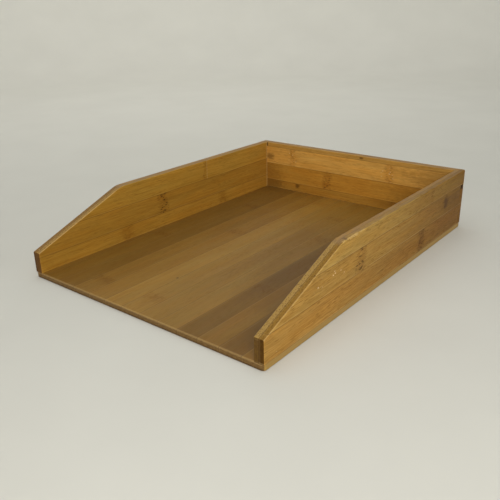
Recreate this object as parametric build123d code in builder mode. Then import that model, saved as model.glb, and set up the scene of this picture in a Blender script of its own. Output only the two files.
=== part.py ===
"""A bamboo letter tray with an open front, in millimetres.

A flat base board carries three walls. The side walls slope down to a low end at the front, and meet the
back wall in glued finger joints. The base is one layer of bamboo strips, edge to edge, that run from
front to back. Each wall is two layers, an inner and an outer ply, of strips laid along the wall.

The origin is the middle of the underside. +X is the tray's right, +Y its back, +Z is up, and paper goes
in over the front edge, at -Y. Every strip of bamboo is a piece of its own.
"""

import os

from build123d import *

# Outside of the tray
tray_width = 250.0
tray_length = 335.0
tray_height = 60.0

# Boards
base_thickness = 5.0
ply_thickness = 4.25
wall_thickness = 2 * ply_thickness

# Outline of a side wall: a low front end, a straight slope, and a rounded shoulder at its top
front_end_height = 23.5
slope_run = 96.0
shoulder_radius = 25.0

# Strips: the first one is the offcut that the board starts with, and the last takes what is left
base_strip_width = 19.85
base_first_strip = 12.7
wall_strip_height = 20.4
first_strips = {
    "left_wall_inner": 14.25,
    "left_wall_outer": 20.35,
    "right_wall_inner": 16.6,
    "right_wall_outer": 20.35,
    "back_wall_inner": 9.7,
    "back_wall_outer": 18.3,
}

# Finger joints at the two back corners: two middle fingers of this height, about the wall's mid height
finger_height = 13.25

# Easing of the edges
base_corner_radius = 3.0
back_corner_radius = 1.5
arris_radius = 0.8

# Places worked out from the sizes above
right_face = tray_width / 2
back_face = tray_length / 2
front_face = -back_face
inner_right_face = right_face - wall_thickness
inner_back_face = back_face - wall_thickness
finger_middle = (base_thickness + tray_height) / 2
finger_levels = [
    base_thickness,
    finger_middle - finger_height,
    finger_middle,
    finger_middle + finger_height,
    tray_height,
]
back_fingers = [(finger_levels[0], finger_levels[1]), (finger_levels[2], finger_levels[3])]
side_fingers = [(finger_levels[1], finger_levels[2]), (finger_levels[3], finger_levels[4])]


def strip_edges(start, first, pitch, end):
    """Return the low and high edge of each strip in a ply that starts and ends at these places."""
    edges = [start, start + first]
    while edges[-1] + pitch < end:
        edges.append(edges[-1] + pitch)
    edges.append(end)
    return list(zip(edges[:-1], edges[1:]))


def corner_blocks(levels, side):
    """Return the boxes, one for each pair of levels, that fill the back corner on one side of the tray."""
    near = side * inner_right_face
    far = side * right_face
    return [
        ((min(near, far), inner_back_face, low), (max(near, far), back_face, high))
        for low, high in levels
    ]


def cut_strip(name, board, low, high, notches):
    """Cut one strip out of a board: what lies between two corners, less the notches. Write it as STEP."""
    with BuildPart() as strip:
        add(board.part)
        with Locations((Vector(*low) + Vector(*high)) / 2):
            Box(*(Vector(*high) - Vector(*low)), mode=Mode.INTERSECT)
        for notch_low, notch_high in notches:
            if notch_low[2] < high[2] and notch_high[2] > low[2]:
                with Locations((Vector(*notch_low) + Vector(*notch_high)) / 2):
                    Box(*(Vector(*notch_high) - Vector(*notch_low)), mode=Mode.SUBTRACT)
    strip.part.label = name
    export_step(strip.part, f"parts/{name}.step")
    print(f"{name}: {strip.part.volume / 1000:.2f} cm3, {len(strip.part.solids())} solid")


def is_exposed_arris(edge):
    """Say whether an edge of the walls is an outside corner that a hand can reach."""
    middle = edge.center()
    on_base = middle.Z < base_thickness + 0.01
    in_back_corner = edge.geom_type == GeomType.LINE and abs(middle.Y - inner_back_face) < 0.01
    upright = abs(edge.tangent_at(0.5).Z) > 0.99
    across = abs(edge.tangent_at(0.5).X) > 0.99
    on_shoulder = across and front_face + 1 < middle.Y < 0
    return not on_base and not on_shoulder and not (in_back_corner and upright)


os.makedirs("parts", exist_ok=True)

# The base board before it is cut into strips, with eased lower edges and rounded corners
with BuildPart() as base_board:
    with BuildSketch():
        RectangleRounded(tray_width, tray_length, base_corner_radius)
    extrude(amount=base_thickness)
    fillet(base_board.faces().sort_by(Axis.Z)[0].edges(), radius=arris_radius)
    with BuildSketch(Plane.YZ):
        with Locations((front_face + arris_radius / 2, base_thickness - arris_radius / 2)):
            Rectangle(arris_radius, arris_radius)
        with Locations((front_face + arris_radius, base_thickness - arris_radius)):
            Circle(arris_radius, mode=Mode.SUBTRACT)
    extrude(amount=inner_right_face, both=True, mode=Mode.SUBTRACT)

# All three walls in one piece: a U in plan, cut to the side outline, with every exposed edge eased
with BuildPart() as walls:
    with BuildSketch(Plane.XY.offset(base_thickness)):
        Rectangle(tray_width, tray_length)
        with Locations((0, -wall_thickness)):
            Rectangle(2 * inner_right_face, tray_length, mode=Mode.SUBTRACT)
    extrude(amount=tray_height - base_thickness)
    with BuildSketch(Plane.YZ) as side_outline:
        with BuildLine():
            Polyline(
                (front_face, base_thickness),
                (front_face, front_end_height),
                (front_face + slope_run, tray_height),
                (back_face, tray_height),
                (back_face, base_thickness),
                close=True,
            )
        make_face()
        shoulder = side_outline.vertices().sort_by_distance((front_face + slope_run, tray_height))[0]
        fillet(shoulder, radius=shoulder_radius)
    extrude(amount=right_face, both=True, mode=Mode.INTERSECT)
    fillet(walls.edges().filter_by(Axis.Z).group_by(Axis.Y)[-1], radius=back_corner_radius)
    fillet(walls.edges().filter_by(is_exposed_arris), radius=arris_radius)

# The base's strips, from left to right
for number, (left, right) in enumerate(
    strip_edges(-right_face, base_first_strip, base_strip_width, right_face), start=1
):
    cut_strip(
        f"base_strip_{number:02d}",
        base_board,
        (left, front_face, 0),
        (right, back_face, base_thickness),
        [],
    )

# The strips of the side walls, from the bottom up, notched at the back for the back wall's fingers
for side_name, side in (("left", -1), ("right", 1)):
    for ply_name, outer_depth in (("inner", ply_thickness), ("outer", 0)):
        outside = side * (right_face - outer_depth)
        inside = side * (right_face - outer_depth - ply_thickness)
        ply = f"{side_name}_wall_{ply_name}"
        for number, (bottom, top) in enumerate(
            strip_edges(base_thickness, first_strips[ply], wall_strip_height, tray_height), start=1
        ):
            cut_strip(
                f"{ply}_strip_{number}",
                walls,
                (min(inside, outside), front_face, bottom),
                (max(inside, outside), back_face, top),
                corner_blocks(back_fingers, side),
            )

# The strips of the back wall, from the bottom up, notched at both ends for the side walls' fingers
for ply_name, outer_depth in (("inner", ply_thickness), ("outer", 0)):
    outside = back_face - outer_depth
    ply = f"back_wall_{ply_name}"
    for number, (bottom, top) in enumerate(
        strip_edges(base_thickness, first_strips[ply], wall_strip_height, tray_height), start=1
    ):
        cut_strip(
            f"{ply}_strip_{number}",
            walls,
            (-right_face, outside - ply_thickness, bottom),
            (right_face, outside, top),
            corner_blocks(side_fingers, -1) + corner_blocks(side_fingers, 1),
        )
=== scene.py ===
"""The looks of a bamboo letter tray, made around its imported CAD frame.

Every strip of bamboo in the frame gets a finer copy of itself, with worn, chipped edges, and a material
of its own: fibres, vascular dashes, knuckles where the cane was jointed, end grain, glue lines and dust.
Lengths in the meshes are metres. Materials count in millimetres, from the front edge, the left wall's inner
face and the underside.
"""

import math
from collections import namedtuple

import bmesh
import bpy
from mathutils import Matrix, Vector, noise


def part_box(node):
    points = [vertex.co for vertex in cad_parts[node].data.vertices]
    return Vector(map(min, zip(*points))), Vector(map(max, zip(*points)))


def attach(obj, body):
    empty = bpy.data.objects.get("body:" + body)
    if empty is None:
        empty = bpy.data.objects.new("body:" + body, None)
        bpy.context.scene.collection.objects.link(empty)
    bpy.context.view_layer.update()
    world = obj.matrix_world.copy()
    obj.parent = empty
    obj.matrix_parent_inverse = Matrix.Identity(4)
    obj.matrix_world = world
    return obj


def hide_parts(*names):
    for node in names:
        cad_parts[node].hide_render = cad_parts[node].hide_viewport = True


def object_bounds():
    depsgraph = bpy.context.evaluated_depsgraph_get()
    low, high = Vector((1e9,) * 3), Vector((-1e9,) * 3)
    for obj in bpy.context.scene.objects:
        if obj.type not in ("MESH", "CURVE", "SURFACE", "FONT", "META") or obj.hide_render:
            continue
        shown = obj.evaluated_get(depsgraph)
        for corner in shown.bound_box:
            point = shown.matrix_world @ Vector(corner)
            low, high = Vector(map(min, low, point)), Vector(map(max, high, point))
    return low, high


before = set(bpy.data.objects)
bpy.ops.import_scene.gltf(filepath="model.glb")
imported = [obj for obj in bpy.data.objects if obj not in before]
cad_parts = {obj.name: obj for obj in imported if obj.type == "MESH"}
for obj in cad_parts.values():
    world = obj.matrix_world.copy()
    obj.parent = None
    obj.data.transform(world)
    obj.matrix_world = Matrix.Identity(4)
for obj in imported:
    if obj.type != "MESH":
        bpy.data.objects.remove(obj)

MM = 0.001
cad_low, cad_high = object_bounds()

# Places in the frame that the meshes and materials are worked out from
front, back = cad_low.y, cad_high.y
left, right = cad_low.x, cad_high.x
top = cad_high.z
base_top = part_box("base_strip_02")[1].z
inner_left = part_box("left_wall_inner_strip_1")[1].x
inner_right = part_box("right_wall_inner_strip_1")[0].x
inner_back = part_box("back_wall_inner_strip_1")[0].y
finger_top = (base_top + top) / 2 + 13.25 * MM

# Side outline of the walls, as in the CAD model
front_end_height = 23.5 * MM
slope_run = 96 * MM
shoulder = front + slope_run


# ---------------------------------------------------------------------------------------------- meshes

slice_length = 2.5 * MM
edge_margin = 2.0 * MM
wear_depth = 0.22 * MM
flat_angle = math.radians(0.5)
sharp_angle = math.radians(50)

# In metres: corners closer than the first are one corner, and those brought closer than the second merge
same_place = 1e-6
merged_place = 5e-6

# How far out to look for more wood: past the roundest corner from a rounded face, just off a square one
square_probe = 0.05 * MM
rounded_probe = 1.5 * MM

# The chipped edge: how far it runs behind the right shoulder, and by what part of that it starts before it
chipped_strip = "right_wall_outer_strip_3"
chip_reach = 34 * MM
chip_lead = 0.12
chip_depth = 2.4 * MM
least_bite = 0.5 * MM
chip_slice_length = 0.7 * MM
chip_margins = (0.4 * MM, 0.8 * MM, 1.2 * MM, 1.6 * MM)

# The hole where a splinter broke off, under the back wall's upper finger at the right corner
splinter_depth = 2.0 * MM
splinter_height = 4.2 * MM
splinter_foot = 1.3
hole_slice_length = 0.5 * MM

# Wood that has been moved in by this much is fully broken
torn_depth = 0.8 * MM


def steps(low, high, step):
    """Return evenly spaced places between two limits, on one grid that all the strips share."""
    first = math.ceil(low / step)
    last = math.floor(high / step)
    return [index * step for index in range(first, last + 1)]


def outline(y):
    """Return the height of the side walls at a place between front and back."""
    slope = (top - front_end_height) / slope_run
    return min(top, front_end_height + (y - front) * slope)


def inside_tray(point):
    """Say whether a point is inside the base board or the walls, with their corners taken as square."""
    x, y, z = point
    if not (left < x < right and front < y < back and 0 < z < outline(y)):
        return False
    return z < base_top or not inner_left < x < inner_right or y > inner_back


def is_exposed(face):
    """Say whether a face is on the outside of the tray, and not glued to another strip."""
    is_square = max(abs(part) for part in face.normal) > 0.999
    probe = square_probe if is_square else rounded_probe
    return not inside_tray(face.calc_center_median() + face.normal * probe)


def cut(mesh, axis, place, normal=None):
    """Cut a mesh's faces along a plane through a place on an axis, and keep both sides."""
    point = Vector((0, 0, 0))
    point[axis] = place
    direction = normal or Vector([1 if index == axis else 0 for index in range(3)])
    everything = mesh.verts[:] + mesh.edges[:] + mesh.faces[:]
    bmesh.ops.bisect_plane(mesh, geom=everything, dist=same_place, plane_co=point, plane_no=direction)


def chip_at(y):
    """Return how far the broken edge behind the right shoulder is cut back, at a place along it."""
    past = (y - shoulder) / chip_reach
    if not -chip_lead < past < 1:
        return 0
    fade = min(1, (past + chip_lead) * 8, (1 - past) * 2.5)
    wide_bites = noise.noise(Vector((y / (4.2 * MM), 3.1, 0)))
    small_bites = noise.noise(Vector((y / (1.6 * MM), 0, 9)))
    return chip_depth * fade * max(0, 0.35 + 0.75 * (wide_bites + 0.5 * small_bites))


def splinter_at(y, z):
    """Return how deep the hole is where a splinter broke off the back wall's finger, at the right corner."""
    below = (finger_top - z) / splinter_height
    if y < inner_back - 0.1 * MM or not -0.02 < below < splinter_foot:
        return 0
    ragged = noise.noise(Vector((y / (1.4 * MM), z / (1.4 * MM), 5)))
    along = min(1, max(0, (back - y) / (1.7 * MM) - 0.25))
    rim = min(1, max(0, 1.12 - below + 0.25 * ragged) * 4)
    return splinter_depth * rim * along * (0.85 + 0.25 * ragged)


def wear_vertex(vertex, normals):
    """Return where an edge's vertex goes when the edge is worn, and how worn it is, from 0 to 1."""
    spread = min(a.dot(b) for a in normals for b in normals)
    if spread > 0.98:
        return vertex.co.copy(), 0.0
    outward = sum(normals, Vector()).normalized()
    coarse = noise.noise(vertex.co / (9 * MM))
    fine = noise.noise(vertex.co / (2.3 * MM))
    amount = min(1, max(0, 0.4 + 0.5 * coarse + 0.45 * fine))
    return vertex.co - outward * amount * wear_depth, 0.35 + 0.65 * amount


def break_vertex(name, kind, place):
    """Return where a place on a strip goes where the wood is broken, and how broken it is, from 0 to 1."""
    if name == chipped_strip and chip_at(place.y) > 0:
        beyond = (place.x - right) + (place.z - top) + chip_at(place.y) + least_bite
        if beyond > 0:
            return place - Vector((beyond / 2, 0, beyond / 2)), min(1, beyond / torn_depth)
    if kind == "back":
        depth = splinter_at(place.y, place.z)
        if depth > 0 and place.x > right - depth:
            return Vector((right - depth, place.y, place.z)), min(1, (place.x - right + depth) / torn_depth)
    return place, 0.0


def slice_strip(mesh, name, kind):
    """Cut a strip's faces finely where they are to be worn or broken."""
    low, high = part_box(name)
    length_axis = 0 if kind == "back" else 1

    # Slices along the strip, so that its edges can wear unevenly
    if kind == "base":
        for x in steps(low.x, high.x, slice_length):
            cut(mesh, 0, x)
        for y in (front + edge_margin, front + 2 * edge_margin, back - edge_margin):
            cut(mesh, 1, y)
    if kind != "base" or low.x == left or high.x == right:
        for place in steps(low[length_axis], high[length_axis], slice_length):
            cut(mesh, length_axis, place)

    # Cuts along the walls' faces and beside their edges, so that wear stays near the edges
    for x in (inner_left, inner_right):
        cut(mesh, 0, x)
    cut(mesh, 1, inner_back)
    if kind != "base":
        cut(mesh, 0, left + edge_margin)
        cut(mesh, 0, inner_left - edge_margin)
        cut(mesh, 0, inner_right + edge_margin)
        cut(mesh, 0, right - edge_margin)
        cut(mesh, 2, top - edge_margin)
        cut(mesh, 1, front + edge_margin)
        slope_normal = Vector((0, front_end_height - top, slope_run)).normalized()
        height_at_origin = front_end_height - front * (top - front_end_height) / slope_run
        cut(mesh, 2, height_at_origin - edge_margin, slope_normal)

    # Finer cuts where the wood is chipped, behind the right shoulder, and where the splinter is missing
    if name == chipped_strip:
        for y in steps(shoulder - chip_lead * chip_reach, shoulder + chip_reach, chip_slice_length):
            cut(mesh, 1, y)
        for margin in chip_margins:
            cut(mesh, 0, right - margin)
            cut(mesh, 2, top - margin)
    if kind == "back" and high.z > finger_top - splinter_height and low.z < finger_top:
        for y in steps(inner_back, back, hole_slice_length):
            cut(mesh, 1, y)
        for z in steps(finger_top - splinter_foot * splinter_height, finger_top, hole_slice_length):
            cut(mesh, 2, z)


def worn_copy(node, kind):
    """Make a closed, finely cut copy of a strip's mesh, with its open edges worn and chipped."""
    mesh = bmesh.new()
    mesh.from_mesh(node.data)
    worn = mesh.verts.layers.float.new("worn")
    broken = mesh.verts.layers.float.new("broken")
    glued = mesh.faces.layers.int.new("glued")
    bmesh.ops.remove_doubles(mesh, verts=mesh.verts[:], dist=same_place)
    bmesh.ops.dissolve_limit(mesh, angle_limit=flat_angle, verts=mesh.verts[:], edges=mesh.edges[:])
    slice_strip(mesh, node.name, kind)
    for face in mesh.faces:
        face[glued] = not is_exposed(face)
    for vertex in mesh.verts:
        normals = [face.normal for face in vertex.link_faces if not face[glued]]
        place = vertex.co.copy()
        if normals:
            place, vertex[worn] = wear_vertex(vertex, normals)
        vertex.co, vertex[broken] = break_vertex(node.name, kind, place)
    bmesh.ops.remove_doubles(mesh, verts=mesh.verts[:], dist=merged_place)
    bmesh.ops.recalc_face_normals(mesh, faces=mesh.faces[:])

    # Shade the faces smoothly, but keep a sharp line at corners and where a glued face meets an open one
    for face in mesh.faces:
        face.smooth = True
    for edge in mesh.edges:
        sides = {face[glued] for face in edge.link_faces}
        edge.smooth = edge.calc_face_angle(0) < sharp_angle and len(sides) == 1
    finished = bpy.data.meshes.new(node.name + "_wood")
    mesh.to_mesh(finished)
    mesh.free()
    return finished


# ------------------------------------------------------------------------------------------- materials


class Wire:
    """A number that a material works out at each point, to be added, multiplied and compared."""

    def __init__(self, shader, socket):
        self.shader = shader
        self.socket = socket

    def __add__(self, other):
        return self.shader.math("ADD", self, other)

    def __sub__(self, other):
        return self.shader.math("SUBTRACT", self, other)

    def __rsub__(self, other):
        return self.shader.math("SUBTRACT", other, self)

    def __mul__(self, other):
        return self.shader.math("MULTIPLY", self, other)

    def __truediv__(self, other):
        return self.shader.math("DIVIDE", self, other)

    def __pow__(self, other):
        return self.shader.math("POWER", self, other)

    def __abs__(self):
        return self.shader.math("ABSOLUTE", self)

    __radd__ = __add__


class Shader:
    """A material's node tree. Each method adds one node and returns what it gives."""

    def __init__(self, name):
        self.material = bpy.data.materials.new(name)
        self.material.use_nodes = True
        self.tree = self.material.node_tree
        self.tree.nodes.clear()

    def put(self, socket, value):
        """Connect a worked-out value to a socket, or set a plain one on it."""
        if isinstance(value, Wire):
            self.tree.links.new(value.socket, socket)
        else:
            socket.default_value = value

    def add(self, kind, output=0, settings=None, **inputs):
        """Add a node of a kind, with its settings and its inputs by name, and return one of its outputs."""
        node = self.tree.nodes.new("ShaderNode" + kind)
        for name, value in (settings or {}).items():
            setattr(node, name, value)
        for name, value in inputs.items():
            self.put(node.inputs[name.replace("_", " ")], value)
        return Wire(self, node.outputs[output])

    def math(self, operation, *values):
        """Do arithmetic on numbers and wires."""
        node = self.tree.nodes.new("ShaderNodeMath")
        node.operation = operation
        for socket, value in zip(node.inputs, values):
            self.put(socket, value)
        return Wire(self, node.outputs[0])

    def smooth(self, value, low, high):
        """Rise smoothly from 0 at low to 1 at high. With low above high, fall from 1 to 0."""
        settings = {"interpolation_type": "SMOOTHSTEP"}
        if low < high:
            return self.add("MapRange", settings=settings, Value=value, From_Min=low, From_Max=high)
        rise = self.add("MapRange", settings=settings, Value=value, From_Min=high, From_Max=low)
        return 1 - rise

    def mix(self, amount, first, second, blend="MIX"):
        """Mix two colours."""
        node = self.tree.nodes.new("ShaderNodeMix")
        node.data_type = "RGBA"
        node.blend_type = blend
        self.put(node.inputs[0], amount)
        self.put(node.inputs[6], first)
        self.put(node.inputs[7], second)
        return Wire(self, node.outputs[2])

    def vector(self, x, y, z):
        """Join three numbers into a place to look a texture up at."""
        return self.add("CombineXYZ", X=x, Y=y, Z=z)

    def noise(self, vector, detail=2.0, roughness=0.5):
        """Return a soft random number, about 0.5 on average, with grains of one unit."""
        return self.add("TexNoise", Vector=vector, Scale=1.0, Detail=detail, Roughness=roughness)

    def cells(self, vector):
        """Return the distance to the middle of the nearest cell."""
        return self.add("TexVoronoi", output="Distance", Vector=vector, Scale=1.0)


def colour(red, green, blue):
    """Return an opaque colour, in linear light."""
    return (red, green, blue, 1.0)


def tinted(tone, *levels):
    """Return a tone as a colour, with its red, green and blue each made lighter or darker."""
    return colour(*(part * level for part, level in zip(tone, levels)))


# The dark fibre colour also paints shade and shadow, through the dark oval patches
dark_fibre_and_shade = colour(0.080, 0.031, 0.004)
# This colour paints shade at the base's foot, and grime with shade in the splinter's hole
dirt_and_shade = colour(0.030, 0.012, 0.004)
pale_fibre = colour(0.66, 0.46, 0.20)
bare_wood = colour(0.85, 0.68, 0.42)
dust_colour = colour(0.255, 0.160, 0.080)
base_side_dark = colour(0.30, 0.17, 0.035)
base_side_light = colour(0.46, 0.29, 0.075)

# How far from the front the painted falloff of light starts to change the tone towards the back, and
# where it would be done
falloff_start = 60
falloff_end = 360

# The fibres' relief, in metres, and the thin coat of varnish over them
fibre_relief = 0.12 * MM
varnish_share = 0.3
varnish_roughness = 0.34

# Marks on a strip, in millimetres: "at" is the place along it and "up" the place across it. On the base "up"
# is counted to the right, from the left wall's inner face
Knuckle = namedtuple("Knuckle", "at spread shade dots")
# Dark oval patches: real stains, and painted shade and shadow
StainAndShade = namedtuple("StainAndShade", "at up long tall strength")
Streaks = namedtuple("Streaks", "at up long tall strength")
Specks = namedtuple("Specks", "at up long tall paint spacing size")
PaleBand = namedtuple("PaleBand", "low high strength")

# How a ply looks: the strength of its grain's parts, the colours of its end grain and sloping edge, how
# pale its seams are, its gloss, and what the paint is multiplied by at its back end, as painted light
look_parts = "clouds streaks fibres dashes ends slope seams gloss fade"
Look = namedtuple("Look", look_parts, defaults=(0.08, 0.25, None))


class Bamboo(Shader):
    """The material of one strip: u runs along it, v across its width and w through its thickness."""

    def __init__(self, name, kind, look, tone, seed):
        super().__init__(name)
        place = self.tree.nodes.new("ShaderNodeTexCoord").outputs["Object"]
        axes = self.tree.nodes.new("ShaderNodeSeparateXYZ")
        self.tree.links.new(place, axes.inputs[0])
        x, y, z = (Wire(self, axes.outputs[index]) for index in range(3))
        self.from_front = (y - front) / MM
        self.from_left = (x - inner_left) / MM
        self.height = z / MM
        self.depth = abs(x) / MM if kind == "side" else y / MM
        if kind == "back":
            self.u, self.v, self.w = self.from_left, self.height, self.depth
        elif kind == "side":
            self.u, self.v, self.w = self.from_front, self.height, self.depth
        else:
            self.u, self.v, self.w = self.from_front, self.from_left, self.height
        self.kind, self.look, self.tone, self.seed = kind, look, tone, seed
        geometry = self.tree.nodes.new("ShaderNodeNewGeometry").outputs["Normal"]
        normal = self.tree.nodes.new("ShaderNodeSeparateXYZ")
        self.tree.links.new(geometry, normal.inputs[0])
        self.normal = [Wire(self, normal.outputs[index]) for index in range(3)]

    def stretched(self, along, across, through, shift=0.0):
        """Return a place to look a texture up at, with its grains this long, wide and thick.

        A shift picks another part of the texture, so that two textures of one size do not agree.
        """
        return self.vector(
            self.u / along + self.seed * 3.7 + shift,
            self.v / across + self.seed * 1.9,
            self.w / through + self.seed * 0.7,
        )

    def grain(self):
        """Work out the strip's colour: clouds of tone, streaks, single dark fibres, painted light falloff.
        """
        look = self.look
        sway = self.noise(self.stretched(45, 16, 16), detail=1.0) - 0.5
        self.v = self.v + sway * 1.6
        clouds = self.noise(self.stretched(60, 12, 12)) - 0.5
        streaks = self.noise(self.stretched(110, 2.2, 2.2)) - 0.5
        fibres = self.noise(self.stretched(20, 0.7, 0.7), detail=3.0, roughness=0.65) - 0.5
        self.fibres = fibres
        level = 0.5 + clouds * look.clouds + streaks * look.streaks + fibres * look.fibres
        deep = tinted(self.tone, 0.66, 0.58, 0.40)
        light = tinted(self.tone, 1.30, 1.38, 1.60)
        paint = self.mix(level, deep, light)
        hue = self.smooth(self.noise(self.stretched(48, 8, 8, shift=13.0)), 0.3, 0.7)
        tint = self.mix(hue, colour(1.02, 0.98, 0.90), colour(0.98, 1.02, 1.10))
        paint = self.mix(1.0, paint, tint, "MULTIPLY")
        # Painted light: the paint made darker or lighter towards the back, as the light falls off
        if look.fade:
            painted_falloff = self.smooth(self.from_front, falloff_start, falloff_end)
            paint = self.mix(painted_falloff, paint, self.mix(1.0, paint, colour(*look.fade), "MULTIPLY"))
        spots = self.cells(self.stretched(8, 1.1, 1.1))
        patches = self.smooth(self.noise(self.stretched(38, 6, 6, shift=11.0)), 0.36, 0.62)
        self.dashes = self.smooth(spots, 0.42, 0.20) * (patches * 0.75 + 0.25)
        return self.mix(self.dashes * look.dashes, paint, dark_fibre_and_shade)

    def knuckle(self, paint, mark):
        """Paint a joint of the cane: a darker band with short dark dashes, bent round it."""
        drift = (self.noise(self.stretched(60, 4, 4, shift=5.0), detail=3.0) - 0.5) * 9
        away = abs(self.u - mark.at + drift)
        patchy = self.noise(self.stretched(6, 3, 3, shift=6.0), detail=3.0)
        band = self.smooth(away, mark.spread, mark.spread * 0.2) * self.smooth(patchy, 0.2, 0.6)
        shaded = self.mix(1.0, paint, colour(mark.shade, mark.shade * 0.92, mark.shade * 0.80), "MULTIPLY")
        paint = self.mix(band, paint, shaded)
        dots = self.cells(self.stretched(4.2, 1.5, 1.5, shift=2.0))
        near = self.smooth(away, mark.spread * 1.1, mark.spread * 0.3)
        speckle = self.smooth(dots, 0.48, 0.24) * near * self.smooth(patchy, 0.32, 0.52)
        self.dashes = self.math("MAXIMUM", self.dashes, speckle)
        return self.mix(speckle * mark.dots, paint, dark_fibre_and_shade)

    def streaks(self, paint, mark):
        """Paint a patch of long dark fibres."""
        area = self.smooth(self.ellipse(mark), 1.2, 0.5)
        lines = self.noise(self.stretched(30, 0.8, 0.8, shift=8.0), detail=2.0)
        return self.mix(self.smooth(lines, 0.50, 0.64) * area * mark.strength, paint, dark_fibre_and_shade)

    def ellipse(self, mark, ragged=0.5):
        """Return how far out a point is in an oval, where 1 is its rim."""
        across = (self.u - mark.at) / mark.long
        upward = (self.v - mark.up) / mark.tall
        radius = (across * across + upward * upward) ** 0.5
        return radius + (self.noise(self.stretched(5, 2.2, 2.2, shift=7.0)) - 0.5) * ragged * 2

    def stain_and_shade(self, paint, mark):
        """Darken an oval patch with a ragged rim, for real stains and for painted shade and shadow."""
        mask = self.smooth(self.ellipse(mark), 1.15, 0.35)
        return self.mix(mask * mark.strength, paint, dark_fibre_and_shade)

    def specks(self, paint, mark):
        """Dot an oval patch with small specks of one colour."""
        area = self.smooth(self.ellipse(mark, 0.2), 1.1, 0.7)
        dots = self.cells(self.stretched(mark.spacing, mark.spacing * 0.7, mark.spacing * 0.7, shift=1.0))
        reach = mark.size / mark.spacing
        return self.mix(self.smooth(dots, reach * 1.3, reach * 0.6) * area, paint, mark.paint)

    def pale_band(self, paint, mark):
        """Paint a narrow pale band across the strip."""
        past_low = self.smooth(self.u, mark.low - 0.3, mark.low + 0.3)
        short_of_high = self.smooth(self.u, mark.high + 0.3, mark.high - 0.3)
        return self.mix(past_low * short_of_high * mark.strength, paint, pale_fibre)

    def end_grain(self, paint):
        """Darken what is cut across the cane, and dot it with the ends of its fibres."""
        axis = 0 if self.kind == "back" else 1
        facing = self.smooth(abs(self.normal[axis]), 0.55, 0.85)
        ends = self.cells(self.vector(self.v / 0.62, self.w / 0.62, self.seed))
        rings = self.noise(self.vector(self.v / 3.0, self.w / 0.8, self.seed))
        deep = tinted(self.look.ends, 0.75, 0.7, 0.65)
        light = tinted(self.look.ends, 1.2, 1.25, 1.3)
        ground = self.mix(self.smooth(rings, 0.3, 0.7), deep, light)
        dotted = self.mix(self.smooth(ends, 0.42, 0.2) * 0.5, ground, dark_fibre_and_shade)
        self.cut_across = facing
        return self.mix(facing, paint, dotted)

    def slope_grain(self, paint):
        """Show the fibres cut aslant on the sloping edges of the side walls."""
        slanted = self.smooth(self.normal[1] * -1.0, 0.14, 0.28) * self.smooth(self.normal[2], 0.5, 0.8)
        flecks = self.cells(self.vector(self.u / 2.2, self.v / 0.9, self.w / 0.9))
        deep = tinted(self.look.slope, 0.7, 0.65, 0.5)
        light = tinted(self.look.slope, 1.3, 1.35, 1.5)
        ground = self.mix(self.fibres + 0.5, deep, light)
        flecked = self.mix(self.smooth(flecks, 0.42, 0.2) * 0.7, ground, dark_fibre_and_shade)
        rounded = self.smooth(abs(self.normal[0]), 0.25, 0.5) * self.smooth(self.normal[2], 0.25, 0.5)
        rubbed = rounded * self.smooth(self.from_front, slope_run / MM, slope_run / MM - 12)
        return self.mix(rubbed * 0.35, self.mix(slanted, paint, flecked), pale_fibre)

    def front_edge(self, paint):
        """Paint wear and a highlight pale on the top of the base's front edge, and shade at its foot."""
        high_up = self.smooth(self.height, base_top / MM - 1.3, base_top / MM - 0.5)
        low_down = self.smooth(self.height, 2.4, 0.6)
        # Painted highlight and wear: the top of the front face made pale
        paint = self.mix(self.smooth(self.from_front, 1.5, 0.6) * high_up * 0.2, paint, pale_fibre)
        # Painted shade: the foot of the front face darkened, where it meets the floor
        return self.mix(self.smooth(self.from_front, 1.2, 0.4) * low_down * 0.45, paint, dirt_and_shade)

    def glue_lines(self, paint, edges):
        """Paint the thin dark line of glue, and the paler wood beside it, along the strip's glued edges."""
        patchy = self.smooth(self.noise(self.stretched(25, 9, 9, shift=12.0)), 0.3, 0.65)
        for value, place in edges:
            away = abs(value - place)
            beside = abs(value - (place + 0.7))
            pale = 0.06

            # On a face that leans, a step in height is a longer way along the face: keep the line's width
            if value is self.height:
                away = away / (1.0 - abs(self.normal[2]) ** 2.0 + 0.02) ** 0.5
                pale = self.smooth(abs(self.normal[2]), 0.5, 0.2) * patchy * self.look.seams
            paint = self.mix(self.smooth(beside, 0.75, 0.25) * pale, paint, pale_fibre)
            paint = self.mix(self.smooth(away, 0.34, 0.10) * 0.55, paint, dark_fibre_and_shade)
        return paint

    def dust(self, paint):
        """Lay dull grey dust on the walls' top edges."""
        facing_up = self.smooth(self.normal[2], 0.75, 0.97)
        high_up = self.smooth(self.height, top / MM - 2.5, top / MM - 0.6)
        patches = self.smooth(self.noise(self.stretched(14, 2.5, 2.5, shift=3.0), detail=4.0), 0.25, 0.7)
        self.dustiness = facing_up * high_up
        return self.mix(self.dustiness * (0.25 + patches * 0.5), paint, dust_colour)

    def wear(self, paint):
        """Show pale bare wood on worn and chipped edges, grime and painted shade in the splinter's hole."""
        worn = self.add("Attribute", output="Fac", settings={"attribute_name": "worn"})
        broken = self.add("Attribute", output="Fac", settings={"attribute_name": "broken"})
        patches = self.noise(self.stretched(6, 1.5, 1.5, shift=9.0), detail=3.0)
        paint = self.mix(worn * self.smooth(patches, 0.3, 0.7) * 0.55, paint, pale_fibre)
        # In the splinter's hole the dark colour is grime and painted shade; elsewhere broken wood is pale
        torn, strength = (dirt_and_shade, 0.92) if self.kind == "back" else (pale_fibre, 0.4)
        return self.mix(self.smooth(broken, 0.1, 0.6) * strength, paint, torn)

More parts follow.
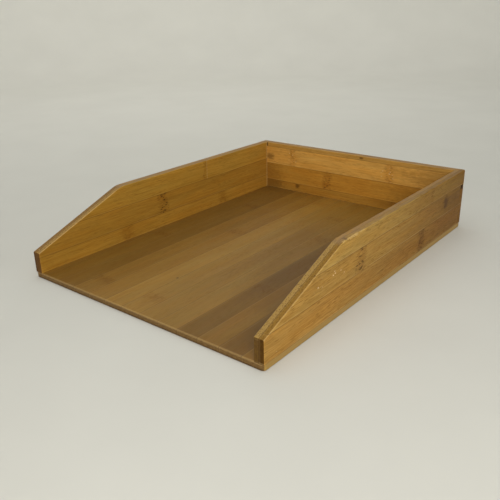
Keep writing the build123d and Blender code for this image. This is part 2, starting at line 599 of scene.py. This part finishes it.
    def varnish(self, paint):
        """Finish the material as thin satin varnish over wood."""
        matt = self.noise(self.stretched(50, 9, 9, shift=4.0))
        rough = 0.40 + matt * 0.16 + self.fibres * 0.12 + self.dashes * 0.10
        rough = rough + self.dustiness * 0.25 + self.cut_across * 0.35
        relief = self.fibres * 0.5 - self.dashes * 0.6 + (matt - 0.5) * 1.5
        bump = self.add("Bump", Strength=0.35, Distance=fibre_relief, Height=relief)
        shader = self.tree.nodes.new("ShaderNodeBsdfPrincipled")
        self.put(shader.inputs["Base Color"], paint)
        self.put(shader.inputs["Roughness"], rough)
        self.put(shader.inputs["Normal"], bump)
        shader.inputs["Specular IOR Level"].default_value = self.look.gloss
        shader.inputs["Coat Weight"].default_value = self.look.gloss * varnish_share
        shader.inputs["Coat Roughness"].default_value = varnish_roughness
        out = self.tree.nodes.new("ShaderNodeOutputMaterial")
        self.tree.links.new(shader.outputs[0], out.inputs[0])


painters = {
    Knuckle: Bamboo.knuckle,
    StainAndShade: Bamboo.stain_and_shade,
    Streaks: Bamboo.streaks,
    Specks: Bamboo.specks,
    PaleBand: Bamboo.pale_band,
}


def bamboo(name, kind, look, tone, marks, seed):
    """Make the material of one strip."""
    low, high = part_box(name)
    wood = Bamboo(name + "_bamboo", kind, look, tone, seed)
    paint = wood.grain()
    for mark in marks:
        paint = painters[type(mark)](wood, paint, mark)
    if kind == "base":
        facing_aside = wood.smooth(abs(wood.normal[0]), 0.6, 0.9)
        edge_wood = wood.mix(wood.fibres + 0.5, base_side_dark, base_side_light)
        paint = wood.mix(facing_aside, paint, edge_wood)
    if kind == "side":
        paint = wood.slope_grain(paint)
    paint = wood.end_grain(paint)
    if kind == "base":
        paint = wood.front_edge(paint)
        edges = [(wood.from_left, (x - inner_left) / MM) for x in (low.x, high.x) if left < x < right]
    else:
        edges = [(wood.height, z / MM) for z in (low.z, high.z) if z < top]
        seam = (right + inner_right) / 2 if kind == "side" else (back + inner_back) / 2
        edges.append((wood.depth, seam / MM))
    paint = wood.glue_lines(paint, edges)
    paint = wood.dust(paint)
    paint = wood.wear(paint)
    wood.varnish(paint)
    return wood.material


# ------------------------------------------------------------------------------ the strips of the tray

golden = (0.400, 0.200, 0.024)
orange = (0.46, 0.213, 0.026)
olive = (0.42, 0.218, 0.042)
brown = (0.250, 0.124, 0.0165)
drab = (0.243, 0.129, 0.0205)

# The last numbers of three looks are painted light, a falloff from the front towards the back
looks = {
    "left_wall_inner": Look(
        0.5, 0.6, 1.2, 0.25, (0.13, 0.050, 0.003), (0.34, 0.19, 0.04), 0.08, 0.25, (1.08, 1.05, 1.04)
    ),
    "left_wall_outer": Look(0.5, 0.6, 1.4, 0.30, (0.10, 0.038, 0.003), (0.24, 0.12, 0.02)),
    "right_wall_inner": Look(0.5, 0.6, 1.2, 0.25, (0.125, 0.060, 0.006), (0.34, 0.20, 0.045)),
    "right_wall_outer": Look(
        0.4, 0.5, 1.8, 0.36, (0.085, 0.036, 0.003), (0.25, 0.13, 0.02), 0.22, 0.1, (0.50, 0.41, 0.20)
    ),
    "back_wall_inner": Look(0.5, 0.5, 1.2, 0.25, (0.22, 0.095, 0.010), (0.40, 0.21, 0.04)),
    "back_wall_outer": Look(0.5, 0.6, 1.4, 0.30, (0.22, 0.095, 0.010), (0.34, 0.17, 0.03)),
    "base": Look(
        0.45, 0.35, 0.65, 0.14, (0.18, 0.098, 0.028), (0.25, 0.128, 0.016), 0.0, 0.25, (0.90, 0.86, 0.75)
    ),
}


def shade(tone, level):
    """Return a tone made lighter or darker."""
    return tuple(part * level for part in tone)


tones = {
    "left_wall_inner": [shade(golden, 1.0), shade(golden, 0.90), (0.41, 0.218, 0.028)],
    "left_wall_outer": [shade(olive, 1.0), shade(olive, 0.92), shade(olive, 1.05)],
    "right_wall_inner": [shade(golden, 1.05), shade(golden, 0.95), shade(golden, 1.0)],
    "right_wall_outer": [shade(olive, 1.03), (0.44, 0.240, 0.048), (0.47, 0.275, 0.060)],
    "back_wall_inner": [
        shade(orange, 0.83),
        shade(orange, 1.01),
        (0.61, 0.313, 0.060),
        (0.49, 0.262, 0.052),
    ],
    "back_wall_outer": [shade(olive, 0.95), shade(olive, 1.05), shade(olive, 0.98)],
}
base_tones = [shade(brown, level) for level in (0.85, 0.77, 0.74, 0.94, 1.02)]
base_tones += [shade(drab, level) for level in (1.27, 1.16, 1.07, 1.07)]
base_tones += [shade(brown, level) for level in (0.70, 0.86, 0.69, 0.85)]

marks = {
    "right_wall_outer_strip_1": [
        Streaks(95, 16, 48, 9, 0.25),
        Streaks(185, 15, 42, 9, 0.3),
        Knuckle(238, 10, 0.70, 0.7),
        Specks(13, 7.5, 5, 2.5, bare_wood, 4, 0.5),
    ],
    "right_wall_outer_strip_2": [
        Streaks(55, 34, 40, 8, 0.2),
        Knuckle(124, 10, 0.82, 1.0),
        StainAndShade(290, 38, 6, 9, 0.75),
        StainAndShade(316, 34, 40, 14, 0.25),
        Specks(79, 35, 21, 7, bare_wood, 4, 0.7),
    ],
    "right_wall_outer_strip_3": [
        Knuckle(255, 5, 0.9, 0.3),
        Specks(188, 56, 7, 2.5, dark_fibre_and_shade, 3, 0.6),
        StainAndShade(101, 60, 2.2, 1.0, 0.85),
    ],
    "left_wall_inner_strip_1": [
        Knuckle(99, 10, 0.84, 0.3),
        Knuckle(241, 10, 0.84, 0.2),
        PaleBand(324.6, 326.6, 0.3),
    ],
    "left_wall_inner_strip_2": [Knuckle(148, 9, 0.84, 0.9), PaleBand(324.6, 326.6, 0.3)],
    "left_wall_inner_strip_3": [
        Knuckle(214, 4, 0.88, 0.3),
        PaleBand(216, 217, 0.22),
        PaleBand(324.6, 326.6, 0.3),
    ],
    "right_wall_inner_strip_1": [Knuckle(160, 7, 0.8, 0.4)],
    "right_wall_inner_strip_2": [Knuckle(70, 6, 0.82, 0.5), Knuckle(272, 6, 0.8, 0.5)],
    "right_wall_inner_strip_3": [Knuckle(196, 6, 0.85, 0.4)],
    "left_wall_outer_strip_1": [Knuckle(96, 7, 0.78, 0.5), Knuckle(306, 7, 0.82, 0.4)],
    "left_wall_outer_strip_2": [Knuckle(214, 8, 0.8, 0.8)],
    "left_wall_outer_strip_3": [Knuckle(148, 6, 0.85, 0.5), StainAndShade(262, 55, 5, 3, 0.5)],
    "back_wall_inner_strip_1": [
        StainAndShade(45, 12, 4, 3, 0.7),
        Knuckle(170, 6, 0.88, 0.3),
        # Painted shade: both ends of the strip darkened, in the corners with the side walls
        StainAndShade(0, 10, 30, 16, 0.52),
        StainAndShade(205, 10, 60, 14, 0.24),
    ],
    "back_wall_inner_strip_2": [
        Knuckle(86, 8, 0.82, 0.6),
        # Painted shade: both ends of the strip darkened, in the corners with the side walls
        StainAndShade(0, 22, 28, 18, 0.34),
        StainAndShade(215, 25, 65, 18, 0.26),
    ],
    "back_wall_inner_strip_3": [
        StainAndShade(5, 43, 7, 6, 0.55),
        Knuckle(38, 6, 0.90, 0.4),
        Specks(38, 46, 10, 9, pale_fibre, 4, 0.7),
        Knuckle(163, 8, 0.92, 0.35),
        Specks(163, 45, 12, 9, pale_fibre, 4, 0.8),
        # Painted shade in the right corner, where the side wall meets the back wall
        StainAndShade(233, 45, 65, 18, 0.36),
    ],
    "back_wall_inner_strip_4": [
        StainAndShade(129, 58, 3, 1.6, 0.7),
        # Painted shade: a dark spot in the narrow gap at the top of the left corner's joint
        StainAndShade(0.4, 57.5, 1.2, 3.2, 0.9),
        # Painted shade in the right corner, where the side wall meets the back wall
        StainAndShade(233, 58, 45, 8, 0.2),
    ],
    "back_wall_outer_strip_1": [Knuckle(60, 7, 0.8, 0.5)],
    "back_wall_outer_strip_2": [Knuckle(178, 8, 0.8, 0.8), StainAndShade(20, 34, 5, 5, 0.4)],
    "back_wall_outer_strip_3": [Knuckle(112, 6, 0.84, 0.6)],
    "base_strip_02": [Knuckle(130, 8, 0.92, 0.1)],
    "base_strip_03": [Knuckle(250, 8, 0.90, 0.1)],
    "base_strip_04": [Knuckle(25, 8, 0.88, 0.2)],
    "base_strip_05": [Knuckle(177, 8, 0.88, 0.2)],
    "base_strip_06": [Knuckle(300, 8, 0.92, 0.1), StainAndShade(63, 102, 1.6, 1.0, 1.0)],
    "base_strip_07": [Knuckle(26, 8, 0.90, 0.15)],
    # Painted shadow: long dark ovals on strips 8 to 12, where the right wall's shadow falls on the base
    "base_strip_08": [Knuckle(267, 8, 0.90, 0.15), StainAndShade(175, 133, 95, 15, 0.20)],
    "base_strip_09": [Knuckle(209, 9, 0.90, 0.15), StainAndShade(170, 153, 95, 15, 0.24)],
    "base_strip_10": [Knuckle(90, 8, 0.92, 0.15), StainAndShade(135, 173, 80, 16, 0.36)],
    "base_strip_11": [Knuckle(305, 8, 0.90, 0.15), StainAndShade(90, 193, 45, 15, 0.22)],
    "base_strip_12": [Knuckle(150, 8, 0.90, 0.15), StainAndShade(30, 213, 50, 15, 0.22)],
    "base_strip_13": [Knuckle(240, 8, 0.90, 0.15)],
}


def dress(name, kind, look, tone, seed):
    """Make the worn copy of a strip, give it its material, hang it on the root body and hide the CAD node.
    """
    piece = bpy.data.objects.new(name + "_wood", worn_copy(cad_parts[name], kind))
    bpy.context.scene.collection.objects.link(piece)
    piece.data.materials.append(bamboo(name, kind, look, tone, marks.get(name, []), seed))
    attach(piece, "root")
    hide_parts(name)


def dress_tray():
    """Dress every strip of the walls and the base."""
    seed = 1.0
    for ply, ply_tones in tones.items():
        for number, tone in enumerate(ply_tones, start=1):
            name = f"{ply}_strip_{number}"
            kind = "back" if name.startswith("back") else "side"
            dress(name, kind, looks[ply], tone, seed)
            seed += 1.0
    for number, tone in enumerate(base_tones, start=1):
        dress(f"base_strip_{number:02d}", "base", looks["base"], tone, seed)
        seed += 1.0


# ------------------------------------------------------------------------------------ stage and camera

floor_radius = 1.3
floor_middle_radius = 0.4
floor_bend = 0.6
bend_steps = 12
wall_height = 1.4
spokes = 96
gap_under_tray = 0.1 * MM
floor_dark = (0.63, 0.615, 0.555)
floor_light = (0.69, 0.675, 0.61)
floor_roughness = 0.85
floor_specular = 0.1

# The camera that the photo's perspective asks for
camera_place = (0.3288, -0.4336, 0.2237)
camera_turn = [math.radians(turn) for turn in (67.59, 1.06, 38.30)]
camera_lens = 44.2
camera_sensor_width = 36
sky_tint = (0.90, 0.95, 1.0)
sky_strength = 0.55


def make_stage():
    """Make a pale floor that curves up into a wall all the way round."""
    profile = [(floor_middle_radius, 0.0), (floor_radius, 0.0)]
    for index in range(1, bend_steps + 1):
        angle = math.radians(90 * index / bend_steps)
        profile.append((floor_radius + floor_bend * math.sin(angle), floor_bend * (1 - math.cos(angle))))
    profile.append((floor_radius + floor_bend, floor_bend + wall_height))
    mesh = bmesh.new()
    rings = []
    for radius, height in profile:
        turns = [2 * math.pi * index / spokes for index in range(spokes)]
        rings.append([mesh.verts.new((radius * math.cos(a), radius * math.sin(a), height)) for a in turns])
    mesh.faces.new(rings[0])
    for lower, upper in zip(rings, rings[1:]):
        for index in range(spokes):
            after = (index + 1) % spokes
            mesh.faces.new((lower[index], upper[index], upper[after], lower[after]))
    data = bpy.data.meshes.new("studio_floor")
    mesh.to_mesh(data)
    mesh.free()
    data.shade_smooth()
    floor = bpy.data.objects.new("studio_floor", data)
    floor.location.z = -gap_under_tray
    bpy.context.scene.collection.objects.link(floor)
    paint = Shader("pale_floor")
    place = Wire(paint, paint.tree.nodes.new("ShaderNodeTexCoord").outputs["Object"])
    mottle = paint.add("TexNoise", Vector=place, Scale=9.0, Detail=3.0)
    shader = paint.tree.nodes.new("ShaderNodeBsdfPrincipled")
    mottled = paint.mix(mottle, colour(*floor_dark), colour(*floor_light))
    paint.put(shader.inputs["Base Color"], mottled)
    shader.inputs["Roughness"].default_value = floor_roughness
    shader.inputs["Specular IOR Level"].default_value = floor_specular
    out = paint.tree.nodes.new("ShaderNodeOutputMaterial")
    paint.tree.links.new(shader.outputs[0], out.inputs[0])
    data.materials.append(paint.material)


def make_light(name, place, size, power, tint, target=(0, 0, 0.02)):
    """Make a soft square light that faces the tray, or another target."""
    data = bpy.data.lights.new(name, "AREA")
    data.shape = "SQUARE"
    data.size = size
    data.energy = power
    data.color = tint
    light = bpy.data.objects.new(name, data)
    light.location = place
    light.rotation_mode = "QUATERNION"
    light.rotation_quaternion = (Vector(target) - Vector(place)).to_track_quat("-Z", "Y")
    light.visible_camera = False
    bpy.context.scene.collection.objects.link(light)


def make_camera():
    """Make the camera where the photo's was."""
    data = bpy.data.cameras.new("camera")
    data.sensor_width = camera_sensor_width
    data.lens = camera_lens
    camera = bpy.data.objects.new("camera", data)
    camera.location = camera_place
    camera.rotation_euler = camera_turn
    bpy.context.scene.collection.objects.link(camera)
    bpy.context.scene.camera = camera


def make_world():
    """Make an even, slightly cool light from all round."""
    world = bpy.data.worlds.new("studio_air")
    world.use_nodes = True
    background = world.node_tree.nodes["Background"]
    background.inputs["Color"].default_value = colour(*sky_tint)
    background.inputs["Strength"].default_value = sky_strength
    bpy.context.scene.world = world


make_camera()
make_world()
make_stage()
make_light("key_light", (0.72, -0.82, 0.62), 0.5, 9, (1.0, 0.98, 0.94))
make_light("top_light", (-0.1, -0.1, 1.5), 1.2, 3, (0.98, 0.99, 1.0))
make_light("wall_light", (-0.45, 0.4, 1.4), 0.8, 10, (1.0, 0.99, 0.97), (-1.4, 1.2, 0.9))
bpy.context.scene.view_settings.view_transform = "Standard"
dress_tray()
